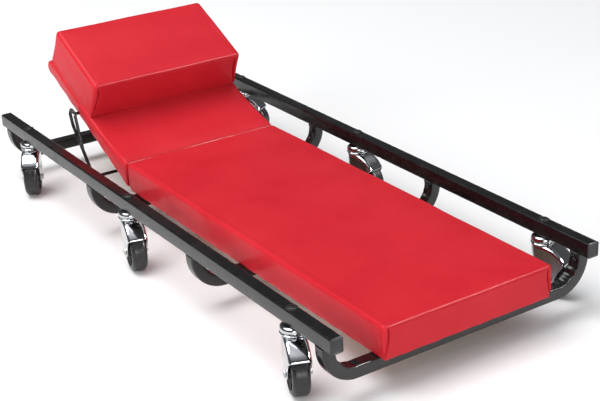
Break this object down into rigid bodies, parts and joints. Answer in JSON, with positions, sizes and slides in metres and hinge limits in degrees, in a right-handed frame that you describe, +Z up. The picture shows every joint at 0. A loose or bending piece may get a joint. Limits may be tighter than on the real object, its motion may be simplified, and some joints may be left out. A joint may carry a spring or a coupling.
{
  "type": "mechanics creeper",
  "caption": "Low padded board on a black tube frame with swivel casters and a hinged, propped headrest, for lying on while working under a vehicle.",
  "frame": {"origin": "on the floor, under the middle of the frame, halfway between the rails and halfway along them", "axes": "+X to the right of a person lying on the pad, +Y towards the head end along the rails, +Z up"},
  "size_m": [0.5052, 1.02, 0.2671],
  "materials": {
    "frame_paint": "satin",
    "cap_plastic": "satin",
    "nut_black": "satin",
    "caster_chrome": "polished",
    "zinc_steel": "satin",
    "wheel_black": "satin",
    "plywood": "matte",
    "red_vinyl": "satin"
  },
  "bodies": {
    "frame": {"side_rail_left": "frame_paint", "side_rail_right": "frame_paint", "rail_cap_left_head": "cap_plastic", "rail_cap_left_foot": "cap_plastic", "rail_cap_right_head": "cap_plastic", "rail_cap_right_foot": "cap_plastic", "cross_brace_head": "frame_paint", "cross_brace_shoulder": "frame_paint", "cross_brace_hip": "frame_paint", "cross_brace_foot": "frame_paint", "body_board": "plywood", "body_cushion": "red_vinyl", "hinge_body_leaf_left": "zinc_steel", "hinge_body_leaf_right": "zinc_steel", "hinge_pin_left": "zinc_steel", "hinge_pin_right": "zinc_steel", "prop_rack": "frame_paint", "caster_kingpin_left_head": "caster_chrome", "caster_kingpin_left_mid": "caster_chrome", "caster_kingpin_left_foot": "caster_chrome", "caster_kingpin_right_head": "caster_chrome", "caster_kingpin_right_mid": "caster_chrome", "caster_kingpin_right_foot": "caster_chrome", "caster_nut_left_head": "nut_black", "caster_nut_left_mid": "nut_black", "caster_nut_left_foot": "nut_black", "caster_nut_right_head": "nut_black", "caster_nut_right_mid": "nut_black", "caster_nut_right_foot": "nut_black"},
    "headrest": {"headrest_board": "plywood", "headrest_cushion": "red_vinyl", "headrest_pillow": "red_vinyl", "hinge_head_leaf_left": "zinc_steel", "hinge_head_leaf_right": "zinc_steel", "prop_bush_left": "zinc_steel", "prop_bush_right": "zinc_steel"},
    "prop": {"prop_wire": "frame_paint"},
    "swivel_left_head": {"caster_fork_left_head": "caster_chrome", "caster_axle_left_head": "zinc_steel"},
    "swivel_left_mid": {"caster_fork_left_mid": "caster_chrome", "caster_axle_left_mid": "zinc_steel"},
    "swivel_left_foot": {"caster_fork_left_foot": "caster_chrome", "caster_axle_left_foot": "zinc_steel"},
    "swivel_right_head": {"caster_fork_right_head": "caster_chrome", "caster_axle_right_head": "zinc_steel"},
    "swivel_right_mid": {"caster_fork_right_mid": "caster_chrome", "caster_axle_right_mid": "zinc_steel"},
    "swivel_right_foot": {"caster_fork_right_foot": "caster_chrome", "caster_axle_right_foot": "zinc_steel"},
    "wheel_left_head": {"caster_wheel_left_head": "wheel_black"},
    "wheel_left_mid": {"caster_wheel_left_mid": "wheel_black"},
    "wheel_left_foot": {"caster_wheel_left_foot": "wheel_black"},
    "wheel_right_head": {"caster_wheel_right_head": "wheel_black"},
    "wheel_right_mid": {"caster_wheel_right_mid": "wheel_black"},
    "wheel_right_foot": {"caster_wheel_right_foot": "wheel_black"}
  },
  "joints": [
    {"name": "headrest_tilt", "type": "hinge", "parent": "frame", "child": "headrest", "pos_m": [0, 0.189, 0.047], "axis": [1, 0, 0], "range_deg": [-25.5, 0]},
    {"name": "prop_fold", "type": "hinge", "parent": "headrest", "child": "prop", "pos_m": [0, 0.35795, 0.13877], "axis": [1, 0, 0], "range_deg": [-31.9, 0.1]},
    {"name": "swivel_left_head", "type": "hinge", "parent": "frame", "child": "swivel_left_head", "pos_m": [-0.215, 0.41, 0.0775], "axis": [0, 0, 1], "continuous": true},
    {"name": "swivel_left_mid", "type": "hinge", "parent": "frame", "child": "swivel_left_mid", "pos_m": [-0.215, 0.038, 0.0775], "axis": [0, 0, 1], "continuous": true},
    {"name": "swivel_left_foot", "type": "hinge", "parent": "frame", "child": "swivel_left_foot", "pos_m": [-0.215, -0.411, 0.0775], "axis": [0, 0, 1], "continuous": true},
    {"name": "swivel_right_head", "type": "hinge", "parent": "frame", "child": "swivel_right_head", "pos_m": [0.215, 0.41, 0.0775], "axis": [0, 0, 1], "continuous": true},
    {"name": "swivel_right_mid", "type": "hinge", "parent": "frame", "child": "swivel_right_mid", "pos_m": [0.215, 0.038, 0.0775], "axis": [0, 0, 1], "continuous": true},
    {"name": "swivel_right_foot", "type": "hinge", "parent": "frame", "child": "swivel_right_foot", "pos_m": [0.215, -0.411, 0.0775], "axis": [0, 0, 1], "continuous": true},
    {"name": "roll_left_head", "type": "hinge", "parent": "swivel_left_head", "child": "wheel_left_head", "pos_m": [-0.226, 0.39095, 0.0315], "axis": [0.866, -0.5, 0], "continuous": true},
    {"name": "roll_left_mid", "type": "hinge", "parent": "swivel_left_mid", "child": "wheel_left_mid", "pos_m": [-0.22032, 0.01665, 0.0315], "axis": [0.9703, -0.2419, 0], "continuous": true},
    {"name": "roll_left_foot", "type": "hinge", "parent": "swivel_left_foot", "child": "wheel_left_foot", "pos_m": [-0.22324, -0.4314, 0.0315], "axis": [0.9272, -0.3746, 0], "continuous": true},
    {"name": "roll_right_head", "type": "hinge", "parent": "swivel_right_head", "child": "wheel_right_head", "pos_m": [0.226, 0.39095, 0.0315], "axis": [0.866, 0.5, 0], "continuous": true},
    {"name": "roll_right_mid", "type": "hinge", "parent": "swivel_right_mid", "child": "wheel_right_mid", "pos_m": [0.21806, 0.01621, 0.0315], "axis": [0.9903, 0.1392, 0], "continuous": true},
    {"name": "roll_right_foot", "type": "hinge", "parent": "swivel_right_foot", "child": "wheel_right_foot", "pos_m": [0.22032, -0.43235, 0.0315], "axis": [0.9703, 0.2419, 0], "continuous": true}
  ],
  "couplings": [
    {"joint": "prop_fold", "follows": "headrest_tilt", "ratio": 1.246}
  ]
}
